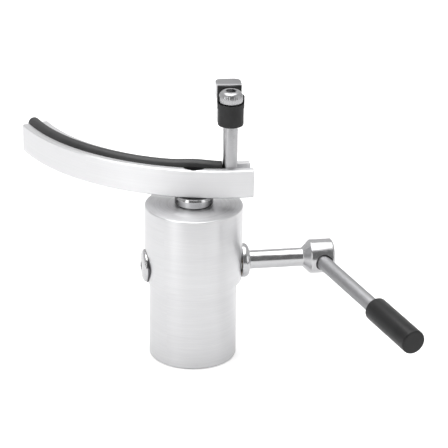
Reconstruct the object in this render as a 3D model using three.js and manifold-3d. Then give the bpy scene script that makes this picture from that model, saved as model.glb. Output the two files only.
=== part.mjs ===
// Cam-lift rest clamp: a turned body carries a short pillar, and the pillar carries a curved rest bar
// padded with a rubber cord. A cross shaft with an eccentric and a hand lever lifts the pillar.
// Millimetres, +Z up. The origin is on the body axis at the bottom face of the shank.
// +X points along the cross shaft towards the lever, and the convex side of the bar faces -Y.

import * as THREE from 'three';
import { mergeVertices } from 'three/addons/utils/BufferGeometryUtils.js';
import Module from 'manifold-3d';

const wasm = await Module();
wasm.setup();

// ---------------------------------------------------------------- driving dimensions

const BODY = {
  shankRadius: 17.95, shoulderZ: 34, radius: 20, topZ: 66.2, chamfer: 0.5,
  chamberRadius: 12, chamberTopZ: 57, bushSeatRadius: 10.05, bushSeatTopZ: 64, mouthRadius: 6.6,
};
const CAP = { radius: 16.1, seatRadius: 16.2, thickness: 4, seatDepth: 4.05 };
const CAP_SCREW = {
  count: 3, circleRadius: 13.6, headRadius: 2.3, shankRadius: 1.15, headDepth: 1.2, length: 10,
  driveAcross: 1.5, driveDepth: 0.9, clearance: 0.1,
};
const PILLAR_BUSH = { outerRadius: 10, innerRadius: 6.56, bottomZ: 57.05, topZ: 63.9 };
const PILLAR = {
  stemRadius: 6.5, headRadius: 7.85, headBottomZ: 66.95, topZ: 70.6, rimWidth: 0.45, rimHeight: 1.0,
  bottomZ: 49.3, footRadius: 10.5, footHeight: 2,
  spigotHoleRadius: 3.96, spigotHoleTopZ: 58, threadRadius: 2.45, threadBottomZ: 60.5,
};
const TAPPET = {
  padRadius: 7, padBottomZ: 43.57, flangeRadius: 11.6, flangeBottomZ: 46.6, flangeTopZ: 49.2,
  spigotRadius: 3.9, spigotTopZ: 57,
};
const SPRING = { meanRadius: 9.6, wireRadius: 0.6, turns: 2.6, bottomZ: 51.35, topZ: 56.95 };

const SHAFT = {
  axisZ: 40, journalRadius: 5.44, journalEndX: 9.5, leftEndX: -18.95,
  eccentricRadius: 4, eccentricOffset: 1.4, eccentricPhaseDeg: 202.5,
  collarStartX: 19.45, collarEndX: 22.9, collarRadius: 7.15,
  collarBackChamfer: 0.3, collarFrontRounding: [[0, 1.7], [0.35, 0.8], [1.6, 0]],
  neckRadius: 3.88, coneStartX: 45.3, headStartX: 48.3, headRadius: 7.13, headChamfer: 0.3, headEndX: 57.5,
  tipX: 58.2, tipRadius: 6.4, threadRadius: 3.4, threadDepth: 9,
};
const LEVER_HOLE = { radius: 3.15, sinkRadius: 3.5, sinkStart: 5.8, sinkFull: 6.4, reach: 12, endGap: 0.3 };
const SPOTFACE = { leftX: -19.0, rightX: 19.3, radius: 7.4 };
const CAM_BUSH = { outerRadius: 6.5, innerRadius: 5.5, innerX: 12.4, outerX: 18.6, seatRadius: 6.55 };
const END_WASHER = { radius: 6.95, holeRadius: 3.5, startX: -19.6, thickness: 0.55 };
const END_SCREW = {
  radius: 6.75, faceRadius: 2.4, height: 1.95, rimHeight: 0.4, startX: -19.65, shankRadius: 3.3,
  shankLength: 8, driveAcross: 3, driveDepth: 1.0,
};
const LEVER = {
  crossX: 51.5, direction: [0.294, -0.9536, -0.0645], rodRadius: 3, rodStart: -4, rodChamfer: 0.6,
  gripStart: 49.3, gripEnd: 78.8, gripRadius: 5, gripRounding: 0.8, gripFloorGap: 0.3,
  rodTip: 72, boreGap: 0.1,
};

const BAR = {
  centre: [20.24, 80.32], outerRadius: 88.1, innerRadius: 76.6, bottomZ: 70.65, topZ: 82.67,
  startDeg: -164.7, endDeg: -87.94, chamfer: 0.5,
  grooveOuterRadius: 85.25, grooveInnerRadius: 80.05, grooveFloorZ: 79.75, grooveRunOutDeg: 2,
};
const BAR_SCREW = {
  headRadius: 4.25, headBottomZ: 75.1, headTopZ: 80.1, headChamfer: 0.5, shankRadius: 2.4, tipZ: 61.5,
  driveAcross: 4, driveDepth: 2.5,
};
const BAR_SCREW_SEAT = { radius: 4.95, z: 75.05, holeRadius: 2.7 };
const BAR_DOWEL = { offset: [-5.4, 1.9], radius: 1.0, bottomZ: 68, topZ: 73.2, gap: 0.06, endGap: 0.1 };
const CORD = {
  radius: 2.5, restZ: 82.3, bumpHeight: 0.7, bumpDeg: -104.1, bumpHalfWidthDeg: 5.2,
  startDeg: -165.9, endDeg: -96.42, pathRadius: 82.65,
};

const POST = {
  angleDeg: -94.19, pathRadius: 82.75, radius: 3, shoulderZ: 101.5, spigotRadius: 2.6, topZ: 108.5,
  footRadius: 2.5, footBottomZ: 76.6, tapRadius: 1.7, tapDepth: 7, tapEndGap: 0.3,
};
const POST_SCREW = {
  headRadius: 3.4, headBottomZ: 71.3, headTopZ: 73.85, shankRadius: 1.6, tipZ: 81,
  seatRadius: 3.7, seatZ: 73.9, holeRadius: 1.9, driveAcross: 2.5, driveDepth: 1.4,
};
const FINGER = {
  turnDeg: -3.5, bossRadius: 4.1, bossBottomZ: 101.6, bossTopZ: 108.6, boreRadius: 2.66,
  backFrontY: 6.55, backRearY: 14.3, frontSag: 0.6, cornerRadius: 2.4,
  headHalfWidth: 5.15, headBottomZ: 109.2, headTopZ: 115.1, stemHalfWidth: 4.6, stemBottomZ: 98.8,
  neckHalfWidth: 2.6, neckBottomZ: 102.4, neckTopZ: 107.6,
};
const SLEEVE = {
  radius: 5.2, holeRadius: 4.25, bottomZ: 100.65, topZ: 108.5, lipRadius: 3.12, lipTopZ: 101.5,
  cupRadius: 4.7, cupTopZ: 109.9,
  facingFrontY: 5.1, facingRearY: 6.2, facingHalfWidth: 4.9, facingTopZ: 114.9, neckGap: 0.2,
  hoodInnerRadius: 5.05, hoodOuterRadius: 5.4, hoodTopZ: 112.7, hoodFrontDeg: -8,
};
const FINGER_WASHER = { radius: 4.55, holeRadius: 1.9, bottomZ: 108.7, topZ: 109.45, rounding: 0.25 };
const FINGER_SCREW = {
  headRadius: 4.92, headBottomZ: 109.5, headTopZ: 114.9, faceRadius: 2.9, edgeHeight: 3,
  underside: [[4.1, 0], [4.45, 0.5], [4.75, 1.2]],
  shankRadius: 1.6, tipZ: 103.5, driveAcross: 4, driveDepth: 2.2,
};

const SEGMENTS = { large: 64, medium: 32, small: 16, arc: 28 };
const OVERCUT = 1; // how far a cutting tool runs past the face it opens
const JOIN_LAP = 0.2; // how far joined solids run into each other
const FIT_GAP = 0.05; // gap round a pin or foot that sits fixed in its hole
const DEG = Math.PI / 180;

// ---------------------------------------------------------------- materials

function surface(colour, roughness, metalness) {
  return new THREE.MeshStandardMaterial({ color: colour, roughness, metalness });
}

const turnedAluminium = () => surface(0xd6d7d9, 0.38, 0.95);
const brushedAluminium = () => surface(0xdcddde, 0.34, 0.95);
const polishedSteel = () => surface(0xb9bbbd, 0.15, 1.0);
const satinSteel = () => surface(0xa8aaac, 0.35, 1.0);
const darkSteel = () => surface(0x5b5d60, 0.4, 0.9);
const bronze = () => surface(0xa97b45, 0.4, 0.9);
const blackRubber = () => surface(0x2b2c2e, 0.75, 0.0);
const blackPlastic = () => surface(0x242527, 0.4, 0.0);

// ---------------------------------------------------------------- solids and booleans

function toManifold(geometry) {
  const bare = geometry.index ? geometry.toNonIndexed() : geometry.clone();
  bare.deleteAttribute('normal');
  bare.deleteAttribute('uv');
  const merged = mergeVertices(bare, 1e-5);
  const mesh = new wasm.Mesh({
    numProp: 3,
    vertProperties: new Float32Array(merged.attributes.position.array),
    triVerts: new Uint32Array(merged.index.array),
  });
  return new wasm.Manifold(mesh);
}

function toGeometry(manifold) {
  const mesh = manifold.getMesh();
  const geometry = new THREE.BufferGeometry();
  geometry.setAttribute('position', new THREE.BufferAttribute(new Float32Array(mesh.vertProperties), 3));
  geometry.setIndex(new THREE.BufferAttribute(new Uint32Array(mesh.triVerts), 1));
  geometry.computeVertexNormals();
  return geometry;
}

function cut(geometry, ...tools) {
  let solid = toManifold(geometry);
  for (const tool of tools) {
    solid = solid.subtract(toManifold(tool));
  }
  return toGeometry(solid);
}

function join(geometry, ...others) {
  let solid = toManifold(geometry);
  for (const other of others) {
    solid = solid.add(toManifold(other));
  }
  return toGeometry(solid);
}

// A solid of revolution about +Z from [radius, z] pairs going up the profile.
function turned(profile, segments = SEGMENTS.medium) {
  const points = profile.map(([radius, z]) => new THREE.Vector2(radius, z));
  const geometry = new THREE.LatheGeometry(points, segments);
  geometry.rotateX(Math.PI / 2);
  return geometry;
}

// A solid of revolution about +X from [radius, x] pairs, at the height of the cross shaft.
function turnedAlongX(profile, segments = SEGMENTS.medium) {
  const geometry = turned(profile, segments);
  geometry.rotateY(Math.PI / 2);
  geometry.translate(0, 0, SHAFT.axisZ);
  return geometry;
}

function rod(radius, bottomZ, topZ, segments = SEGMENTS.medium) {
  return turned([[0, bottomZ], [radius, bottomZ], [radius, topZ], [0, topZ]], segments);
}

function rodAlongX(radius, startX, endX, segments = SEGMENTS.medium) {
  return turnedAlongX([[0, startX], [radius, startX], [radius, endX], [0, endX]], segments);
}

function ring(innerRadius, outerRadius, bottomZ, topZ, segments = SEGMENTS.medium) {
  return turned([
    [innerRadius, bottomZ], [outerRadius, bottomZ], [outerRadius, topZ],
    [innerRadius, topZ], [innerRadius, bottomZ],
  ], segments);
}

function hexPrism(acrossFlats, bottomZ, topZ) {
  const geometry = new THREE.CylinderGeometry(
    acrossFlats / Math.sqrt(3), acrossFlats / Math.sqrt(3), topZ - bottomZ, 6);
  geometry.rotateX(Math.PI / 2);
  geometry.translate(0, 0, (bottomZ + topZ) / 2);
  return geometry;
}

function extrudeUp(shape, bottomZ, topZ, curveSegments = 8) {
  const geometry = new THREE.ExtrudeGeometry(shape, {
    depth: topZ - bottomZ, bevelEnabled: false, curveSegments,
  });
  geometry.translate(0, 0, bottomZ);
  return geometry;
}

function piece(name, geometry, material) {
  const mesh = new THREE.Mesh(geometry, material);
  mesh.name = name;
  return mesh;
}

function pointOnArc(radius, angleDeg) {
  return [
    BAR.centre[0] + radius * Math.cos(angleDeg * DEG),
    BAR.centre[1] + radius * Math.sin(angleDeg * DEG),
  ];
}

// ---------------------------------------------------------------- body and bottom cap

function capScrewPositions() {
  return Array.from({ length: CAP_SCREW.count }, (_, i) => {
    const angle = (90 + i * 360 / CAP_SCREW.count) * DEG;
    return [CAP_SCREW.circleRadius * Math.cos(angle), CAP_SCREW.circleRadius * Math.sin(angle)];
  });
}

function bodyHousing() {
  const b = BODY;
  const shell = turned([
    [CAP.seatRadius, 0],
    [b.shankRadius - b.chamfer, 0],
    [b.shankRadius, b.chamfer],
    [b.shankRadius, b.shoulderZ],
    [b.radius, b.shoulderZ],
    [b.radius, b.topZ - b.chamfer],
    [b.radius - b.chamfer, b.topZ],
    [b.mouthRadius, b.topZ],
    [b.mouthRadius, b.bushSeatTopZ],
    [b.bushSeatRadius, b.bushSeatTopZ],
    [b.bushSeatRadius, b.chamberTopZ],
    [b.chamberRadius, b.chamberTopZ],
    [b.chamberRadius, CAP.seatDepth],
    [CAP.seatRadius, CAP.seatDepth],
    [CAP.seatRadius, 0],
  ], SEGMENTS.large);
  const reach = b.radius + 2;
  const crossBore = rodAlongX(CAM_BUSH.seatRadius, -reach, reach);
  const leftFace = rodAlongX(SPOTFACE.radius, -reach, SPOTFACE.leftX);
  const rightFace = rodAlongX(SPOTFACE.radius, SPOTFACE.rightX, reach);
  const screwHoles = capScrewPositions().map(([x, y]) => {
    const hole = rod(CAP_SCREW.shankRadius + CAP_SCREW.clearance, CAP.seatDepth - OVERCUT,
      CAP_SCREW.length + OVERCUT, SEGMENTS.small);
    hole.translate(x, y, 0);
    return hole;
  });
  return piece('body_housing', cut(shell, crossBore, leftFace, rightFace, ...screwHoles), turnedAluminium());
}

function bottomCap() {
  const disc = rod(CAP.radius, 0, CAP.thickness, SEGMENTS.large);
  const s = CAP_SCREW;
  const seats = capScrewPositions().map(([x, y]) => {
    const gap = s.clearance;
    const top = CAP.thickness + OVERCUT;
    const seat = turned([
      [0, -OVERCUT], [s.headRadius + gap, -OVERCUT], [s.headRadius + gap, 0],
      [s.shankRadius + gap, s.headDepth], [s.shankRadius + gap, top], [0, top],
    ], SEGMENTS.small);
    seat.translate(x, y, 0);
    return seat;
  });
  return piece('bottom_cap', cut(disc, ...seats), brushedAluminium());
}

function capScrews() {
  const s = CAP_SCREW;
  return capScrewPositions().map(([x, y], i) => {
    const screw = turned([
      [0, FIT_GAP], [s.headRadius - FIT_GAP, FIT_GAP], [s.shankRadius, s.headDepth],
      [s.shankRadius, s.length], [0, s.length],
    ], SEGMENTS.small);
    const socket = hexPrism(s.driveAcross, -OVERCUT, s.driveDepth);
    const mesh = piece(`cap_screw_${i + 1}`, cut(screw, socket), darkSteel());
    mesh.position.set(x, y, 0);
    return mesh;
  });
}

// ---------------------------------------------------------------- lift: bushes, tappet, spring, pillar

function pillarBush() {
  const b = PILLAR_BUSH;
  return piece('pillar_bush', ring(b.innerRadius, b.outerRadius, b.bottomZ, b.topZ), bronze());
}

function liftTappet() {
  const t = TAPPET;
  return piece('lift_tappet', turned([
    [0, t.padBottomZ], [t.padRadius, t.padBottomZ], [t.padRadius, t.flangeBottomZ],
    [t.flangeRadius, t.flangeBottomZ], [t.flangeRadius, t.flangeTopZ],
    [t.spigotRadius, t.flangeTopZ], [t.spigotRadius, t.spigotTopZ], [0, t.spigotTopZ],
  ]), darkSteel());
}

class Helix extends THREE.Curve {
  constructor(radius, bottomZ, topZ, turns) {
    super();
    this.radius = radius;
    this.bottomZ = bottomZ;
    this.topZ = topZ;
    this.turns = turns;
  }

  getPoint(t, target = new THREE.Vector3()) {
    const angle = 2 * Math.PI * this.turns * t;
    const z = this.bottomZ + (this.topZ - this.bottomZ) * t;
    return target.set(this.radius * Math.cos(angle), this.radius * Math.sin(angle), z);
  }
}

function circleShape(radius, points) {
  const shape = new THREE.Shape();
  for (let i = 0; i < points; i += 1) {
    const angle = 2 * Math.PI * i / points;
    const at = [radius * Math.cos(angle), radius * Math.sin(angle)];
    if (i === 0) {
      shape.moveTo(...at);
    } else {
      shape.lineTo(...at);
    }
  }
  shape.closePath();
  return shape;
}

function returnSpring() {
  const s = SPRING;
  const path = new Helix(s.meanRadius, s.bottomZ + s.wireRadius, s.topZ - s.wireRadius, s.turns);
  const geometry = new THREE.ExtrudeGeometry(circleShape(s.wireRadius, 6), {
    steps: 40, bevelEnabled: false, extrudePath: path,
  });
  return piece('return_spring', geometry, satinSteel());
}

function dowelHoleBetween(bottomZ, topZ) {
  const hole = rod(BAR_DOWEL.radius + BAR_DOWEL.gap, bottomZ, topZ, SEGMENTS.small);
  hole.translate(...BAR_DOWEL.offset, 0);
  return hole;
}

function pillar() {
  const p = PILLAR;
  const footTopZ = p.bottomZ + p.footHeight;
  const solid = turned([
    [0, p.bottomZ], [p.footRadius, p.bottomZ], [p.footRadius, footTopZ],
    [p.stemRadius, footTopZ], [p.stemRadius, p.headBottomZ], [p.headRadius, p.headBottomZ],
    [p.headRadius, p.topZ - p.rimHeight], [p.headRadius - p.rimWidth, p.topZ], [0, p.topZ],
  ]);
  const spigotHole = rod(p.spigotHoleRadius, p.bottomZ - OVERCUT, p.spigotHoleTopZ);
  const thread = rod(p.threadRadius, p.threadBottomZ, p.topZ + OVERCUT, SEGMENTS.small);
  const dowelHole = dowelHoleBetween(BAR_DOWEL.bottomZ - BAR_DOWEL.endGap, p.topZ + OVERCUT);
  return piece('pillar', cut(solid, spigotHole, thread, dowelHole), polishedSteel());
}

// ---------------------------------------------------------------- cross shaft and lever

function camBush(name, side) {
  const b = CAM_BUSH;
  const start = side < 0 ? -b.outerX : b.innerX;
  const end = side < 0 ? -b.innerX : b.outerX;
  return piece(name, turnedAlongX([
    [b.innerRadius, start], [b.outerRadius, start], [b.outerRadius, end],
    [b.innerRadius, end], [b.innerRadius, start],
  ]), bronze());
}

// Turns +Z onto the lever's axis and moves the origin to where that axis crosses the shaft.
function alongLever(object) {
  const axis = new THREE.Vector3(...LEVER.direction).normalize();
  object.quaternion.setFromUnitVectors(new THREE.Vector3(0, 0, 1), axis);
  object.position.set(LEVER.crossX, 0, SHAFT.axisZ);
  return object;
}

function bakedAlongLever(geometry) {
  const carrier = alongLever(new THREE.Object3D());
  carrier.updateMatrix();
  return geometry.clone().applyMatrix4(carrier.matrix);
}

function camShaft() {
  const s = SHAFT;
  const outside = turnedAlongX([
    [0, s.journalEndX], [s.journalRadius, s.journalEndX], [s.journalRadius, s.collarStartX],
    [s.collarRadius - s.collarBackChamfer, s.collarStartX],
    [s.collarRadius, s.collarStartX + s.collarBackChamfer],
    ...s.collarFrontRounding.map(([inset, back]) => [s.collarRadius - inset, s.collarEndX - back]),
    [s.neckRadius, s.collarEndX], [s.neckRadius, s.coneStartX],
    [s.headRadius - s.headChamfer, s.headStartX], [s.headRadius, s.headStartX + s.headChamfer],
    [s.headRadius, s.headEndX], [s.tipRadius, s.tipX], [0, s.tipX],
  ]);
  const leftJournal = rodAlongX(s.journalRadius, s.leftEndX, -s.journalEndX);
  const eccentricHalf = s.journalEndX + JOIN_LAP;
  const eccentric = rodAlongX(s.eccentricRadius, -eccentricHalf, eccentricHalf);
  const phase = s.eccentricPhaseDeg * DEG;
  eccentric.translate(0, s.eccentricOffset * Math.cos(phase), s.eccentricOffset * Math.sin(phase));
  const h = LEVER_HOLE;
  const holeStart = LEVER.rodStart - h.endGap;
  const leverHole = bakedAlongLever(turned([
    [0, holeStart], [h.radius, holeStart], [h.radius, h.sinkStart],
    [h.sinkRadius, h.sinkFull], [h.sinkRadius, h.reach], [0, h.reach],
  ]));
  const tap = rodAlongX(s.threadRadius, s.leftEndX - OVERCUT, s.leftEndX + s.threadDepth, SEGMENTS.small);
  const solid = cut(join(outside, leftJournal, eccentric), leverHole, tap);
  return piece('cam_shaft', solid, polishedSteel());
}

function endWasher() {
  const w = END_WASHER;
  const end = w.startX + w.thickness;
  return piece('end_washer', turnedAlongX([
    [w.holeRadius, w.startX], [w.radius, w.startX], [w.radius, end], [w.holeRadius, end],
    [w.holeRadius, w.startX],
  ]), darkSteel());
}

// Domed head with a hexagonal socket, its shank screwed into the left end of the cross shaft.
function endScrew() {
  const s = END_SCREW;
  const tipX = s.startX + s.shankLength;
  const domeSteps = 5;
  const profile = [[0, s.startX - s.height]];
  for (let i = 0; i <= domeSteps; i += 1) {
    const angle = i / domeSteps * Math.PI / 2;
    const radius = s.faceRadius + (s.radius - s.faceRadius) * Math.sin(angle);
    const x = s.startX - s.rimHeight - (s.height - s.rimHeight) * Math.cos(angle);
    profile.push([radius, x]);
  }
  profile.push([s.radius, s.startX], [s.shankRadius, s.startX], [s.shankRadius, tipX], [0, tipX]);
  const socket = hexPrism(s.driveAcross, -OVERCUT, s.driveDepth);
  socket.rotateY(Math.PI / 2);
  socket.translate(s.startX - s.height, 0, SHAFT.axisZ);
  return piece('end_screw', cut(turnedAlongX(profile), socket), polishedSteel());
}

function leverRod() {
  const l = LEVER;
  const mesh = piece('lever_rod', turned([
    [0, l.rodStart], [l.rodRadius, l.rodStart], [l.rodRadius, l.rodTip - l.rodChamfer],
    [l.rodRadius - l.rodChamfer, l.rodTip], [0, l.rodTip],
  ]), satinSteel());
  return alongLever(mesh);
}

function leverGrip() {
  const l = LEVER;
  const bore = l.rodRadius + l.boreGap;
  const round = l.gripRounding;
  const core = l.gripRadius - round;
  const profile = [[bore, l.gripStart]];
  const steps = 4;
  for (let i = 0; i <= steps; i += 1) {
    const angle = i / steps * Math.PI / 2;
    profile.push([core + round * Math.sin(angle), l.gripStart + round - round * Math.cos(angle)]);
  }
  for (let i = 0; i <= steps; i += 1) {
    const angle = i / steps * Math.PI / 2;
    profile.push([core + round * Math.cos(angle), l.gripEnd - round + round * Math.sin(angle)]);
  }
  const boreEnd = l.rodTip + l.gripFloorGap;
  profile.push([0, l.gripEnd], [0, boreEnd], [bore, boreEnd], [bore, l.gripStart]);
  return alongLever(piece('lever_grip', turned(profile), blackPlastic()));
}

// ---------------------------------------------------------------- rest bar, its screw, dowel and cord

function arcSector(innerRadius, outerRadius, startDeg, endDeg) {
  const shape = new THREE.Shape();
  const [x, y] = BAR.centre;
  shape.absarc(x, y, outerRadius, startDeg * DEG, endDeg * DEG, false);
  shape.absarc(x, y, innerRadius, endDeg * DEG, startDeg * DEG, true);
  shape.closePath();
  return shape;
}

function restBar() {
  const b = BAR;
  const c = b.chamfer;
  const endInset = c / b.outerRadius / DEG;
  const blank = new THREE.ExtrudeGeometry(
    arcSector(b.innerRadius + c, b.outerRadius - c, b.startDeg + endInset, b.endDeg - endInset), {
      depth: b.topZ - b.bottomZ - 2 * c, curveSegments: SEGMENTS.arc,
      bevelEnabled: true, bevelSegments: 1, bevelSize: c, bevelThickness: c,
    });
  blank.translate(0, 0, b.bottomZ + c);
  const groove = extrudeUp(
    arcSector(b.grooveInnerRadius, b.grooveOuterRadius, b.startDeg - b.grooveRunOutDeg,
      b.endDeg + b.grooveRunOutDeg), b.grooveFloorZ, b.topZ + OVERCUT, SEGMENTS.arc);
  const below = b.bottomZ - OVERCUT;
  const above = b.topZ + OVERCUT;
  const screwSeat = rod(BAR_SCREW_SEAT.radius, BAR_SCREW_SEAT.z, above);
  const screwHole = rod(BAR_SCREW_SEAT.holeRadius, below, BAR_SCREW_SEAT.z + OVERCUT, SEGMENTS.small);
  const dowelHole = dowelHoleBetween(below, BAR_DOWEL.topZ + BAR_DOWEL.endGap);
  const [px, py] = pointOnArc(POST.pathRadius, POST.angleDeg);
  const postSeat = rod(POST.radius + FIT_GAP, b.grooveFloorZ, above);
  const postHole = rod(POST.footRadius + FIT_GAP, POST.footBottomZ - FIT_GAP, b.grooveFloorZ + OVERCUT);
  const postScrewHole = rod(POST_SCREW.holeRadius, below, POST.footBottomZ + OVERCUT, SEGMENTS.small);
  const postScrewSeat = rod(POST_SCREW.seatRadius, below, POST_SCREW.seatZ, SEGMENTS.small);
  for (const tool of [postSeat, postHole, postScrewHole, postScrewSeat]) {
    tool.translate(px, py, 0);
  }
  return piece('rest_bar', cut(blank, groove, screwSeat, screwHole, dowelHole,
    postSeat, postHole, postScrewHole, postScrewSeat), brushedAluminium());
}

function barScrew() {
  const s = BAR_SCREW;
  const screw = turned([
    [0, s.tipZ], [s.shankRadius, s.tipZ], [s.shankRadius, s.headBottomZ],
    [s.headRadius, s.headBottomZ], [s.headRadius, s.headTopZ - s.headChamfer],
    [s.headRadius - s.headChamfer, s.headTopZ], [0, s.headTopZ],
  ], SEGMENTS.small);
  const socket = hexPrism(s.driveAcross, s.headTopZ - s.driveDepth, s.headTopZ + OVERCUT);
  return piece('bar_screw', cut(screw, socket), darkSteel());
}

function barDowel() {
  const d = BAR_DOWEL;
  const mesh = piece('bar_dowel', rod(d.radius, d.bottomZ, d.topZ, SEGMENTS.small), satinSteel());
  mesh.position.set(...d.offset, 0);
  return mesh;
}

// The cord follows the groove and rises over the bar screw's head.
class CordPath extends THREE.Curve {
  getPoint(t, target = new THREE.Vector3()) {
    const angle = CORD.startDeg + (CORD.endDeg - CORD.startDeg) * t;
    const [x, y] = pointOnArc(CORD.pathRadius, angle);
    const away = (angle - CORD.bumpDeg) / CORD.bumpHalfWidthDeg;
    const z = CORD.restZ + CORD.bumpHeight * Math.exp(-away * away);
    return target.set(x, y, z);
  }
}

function padCord() {
  const path = new CordPath();
  const body = new THREE.ExtrudeGeometry(circleShape(CORD.radius, 14), {
    steps: 38, bevelEnabled: false, extrudePath: path,
  });
  return piece('pad_cord', body, blackRubber());
}

// ---------------------------------------------------------------- finger post and finger head

function fingerPost() {
  const p = POST;
  const seatZ = BAR.grooveFloorZ + FIT_GAP;
  const post = turned([
    [0, p.footBottomZ], [p.footRadius, p.footBottomZ], [p.footRadius, seatZ],
    [p.radius, seatZ], [p.radius, p.shoulderZ], [p.spigotRadius, p.shoulderZ],
    [p.spigotRadius, p.topZ], [0, p.topZ],
  ]);
  const topTap = rod(p.tapRadius, p.topZ - p.tapDepth, p.topZ + OVERCUT, SEGMENTS.small);
  const footTap = rod(p.tapRadius, p.footBottomZ - OVERCUT, POST_SCREW.tipZ + p.tapEndGap, SEGMENTS.small);
  return piece('finger_post', cut(post, topTap, footTap), satinSteel());
}

function postScrew() {
  const s = POST_SCREW;
  const screw = turned([
    [0, s.headBottomZ], [s.headRadius, s.headBottomZ], [s.headRadius, s.headTopZ],
    [s.shankRadius, s.headTopZ], [s.shankRadius, s.tipZ], [0, s.tipZ],
  ], SEGMENTS.small);
  const socket = hexPrism(s.driveAcross, s.headBottomZ - OVERCUT, s.headBottomZ + s.driveDepth);
  return piece('post_screw', cut(screw, socket), darkSteel());
}

// Plan of the finger's back piece: a gently bowed front, straight sides and rounded rear corners.
function backShape(halfWidth) {
  const { backFrontY: frontY, backRearY: rearY, frontSag, cornerRadius } = FINGER;
  const shape = new THREE.Shape();
  const sideY = frontY + frontSag;
  shape.moveTo(-halfWidth, sideY);
  shape.quadraticCurveTo(0, frontY - frontSag, halfWidth, sideY);
  shape.lineTo(halfWidth, rearY - cornerRadius);
  shape.quadraticCurveTo(halfWidth, rearY, halfWidth - cornerRadius, rearY);
  shape.lineTo(-halfWidth + cornerRadius, rearY);
  shape.quadraticCurveTo(-halfWidth, rearY, -halfWidth, rearY - cornerRadius);
  shape.closePath();
  return shape;
}

// The back piece has a wide head over a narrower stem, and a neck joins it to the boss on the post.
function fingerBlock() {
  const f = FINGER;
  const head = extrudeUp(backShape(f.headHalfWidth), f.headBottomZ, f.headTopZ);
  const stem = extrudeUp(backShape(f.stemHalfWidth), f.stemBottomZ, f.headBottomZ + JOIN_LAP);
  const boss = rod(f.bossRadius, f.bossBottomZ, f.bossTopZ);
  const neckLength = f.backFrontY + OVERCUT;
  const neck = new THREE.BoxGeometry(2 * f.neckHalfWidth, neckLength, f.neckTopZ - f.neckBottomZ);
  neck.translate(0, neckLength / 2, (f.neckTopZ + f.neckBottomZ) / 2);
  const bore = rod(f.boreRadius, f.bossBottomZ - OVERCUT, f.bossTopZ + OVERCUT);
  return piece('finger_block', cut(join(head, stem, boss, neck), bore), satinSteel());
}

// Plan of the thin facing glued to the bowed front of the back piece.
function facingShape() {
  const s = SLEEVE;
  const sag = FINGER.frontSag;
  const shape = new THREE.Shape();
  shape.moveTo(-s.facingHalfWidth, s.facingFrontY + sag);
  shape.quadraticCurveTo(0, s.facingFrontY - sag, s.facingHalfWidth, s.facingFrontY + sag);
  shape.lineTo(s.facingHalfWidth, s.facingRearY + sag);
  shape.quadraticCurveTo(0, s.facingRearY - sag, -s.facingHalfWidth, s.facingRearY + sag);
  shape.closePath();
  return shape;
}

// Plan of the low hood that hugs the rear half of the screw head.
function hoodShape() {
  const s = SLEEVE;
  const start = s.hoodFrontDeg * DEG;
  const end = Math.PI - start;
  const shape = new THREE.Shape();
  shape.absarc(0, 0, s.hoodOuterRadius, start, end, false);
  shape.absarc(0, 0, s.hoodInnerRadius, end, start, true);
  shape.closePath();
  return shape;
}

// Rubber boot: a tube round the boss that ends in a cup for the washer, a hood round the back of the
// screw head, and the facing.
function fingerSleeve() {
  const s = SLEEVE;
  const tube = rod(s.radius, s.bottomZ, s.cupTopZ);
  const hood = extrudeUp(hoodShape(), s.topZ - OVERCUT, s.hoodTopZ);
  const facing = extrudeUp(facingShape(), s.topZ - OVERCUT, s.facingTopZ);
  const bossHole = rod(s.holeRadius, s.lipTopZ, s.topZ + OVERCUT);
  const cup = rod(s.cupRadius, s.topZ, s.cupTopZ + OVERCUT);
  const postHole = rod(s.lipRadius, s.bottomZ - OVERCUT, s.lipTopZ + OVERCUT);
  const slotHalfWidth = FINGER.neckHalfWidth + s.neckGap;
  const slotHeight = FINGER.neckTopZ - FINGER.neckBottomZ + 2 * s.neckGap;
  const slotLength = 2 * s.radius;
  const neckSlot = new THREE.BoxGeometry(2 * slotHalfWidth, slotLength, slotHeight);
  neckSlot.translate(0, slotLength / 2, (FINGER.neckTopZ + FINGER.neckBottomZ) / 2);
  return piece('finger_sleeve', cut(join(tube, hood, facing), bossHole, cup, postHole, neckSlot),
    blackRubber());
}

function fingerWasher() {
  const w = FINGER_WASHER;
  return piece('finger_washer', turned([
    [w.holeRadius, w.bottomZ], [w.radius - w.rounding, w.bottomZ], [w.radius, w.bottomZ + w.rounding],
    [w.radius, w.topZ - w.rounding], [w.radius - w.rounding, w.topZ], [w.holeRadius, w.topZ],
    [w.holeRadius, w.bottomZ],
  ]), blackRubber());
}

function fingerScrew() {
  const s = FINGER_SCREW;
  const edgeSteps = 4;
  const roundedEdge = Array.from({ length: edgeSteps + 1 }, (_, i) => {
    const angle = i / edgeSteps * Math.PI / 2;
    const radius = s.faceRadius + (s.headRadius - s.faceRadius) * Math.cos(angle);
    return [radius, s.headTopZ - s.edgeHeight * (1 - Math.sin(angle))];
  });
  const head = turned([
    [0, s.tipZ], [s.shankRadius, s.tipZ], [s.shankRadius, s.headBottomZ],
    ...s.underside.map(([radius, height]) => [radius, s.headBottomZ + height]),
    ...roundedEdge, [0, s.headTopZ],
  ]);
  const socket = hexPrism(s.driveAcross, s.headTopZ - s.driveDepth, s.headTopZ + OVERCUT);
  return piece('finger_screw', cut(head, socket), polishedSteel());
}

// ---------------------------------------------------------------- assembly

const clamp = new THREE.Group();

const base = new THREE.Group();
base.add(bodyHousing(), bottomCap(), ...capScrews(), pillarBush(), returnSpring());
base.add(camBush('cam_bush_left', -1), camBush('cam_bush_right', 1));

const cam = new THREE.Group();
cam.add(camShaft(), endWasher(), endScrew(), leverRod(), leverGrip());

const rest = new THREE.Group();
rest.add(pillar(), restBar(), barScrew(), barDowel(), padCord());

const [postX, postY] = pointOnArc(POST.pathRadius, POST.angleDeg);
const fingerStand = new THREE.Group();
fingerStand.position.set(postX, postY, 0);
fingerStand.add(fingerPost(), postScrew(), fingerWasher(), fingerScrew());

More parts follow.
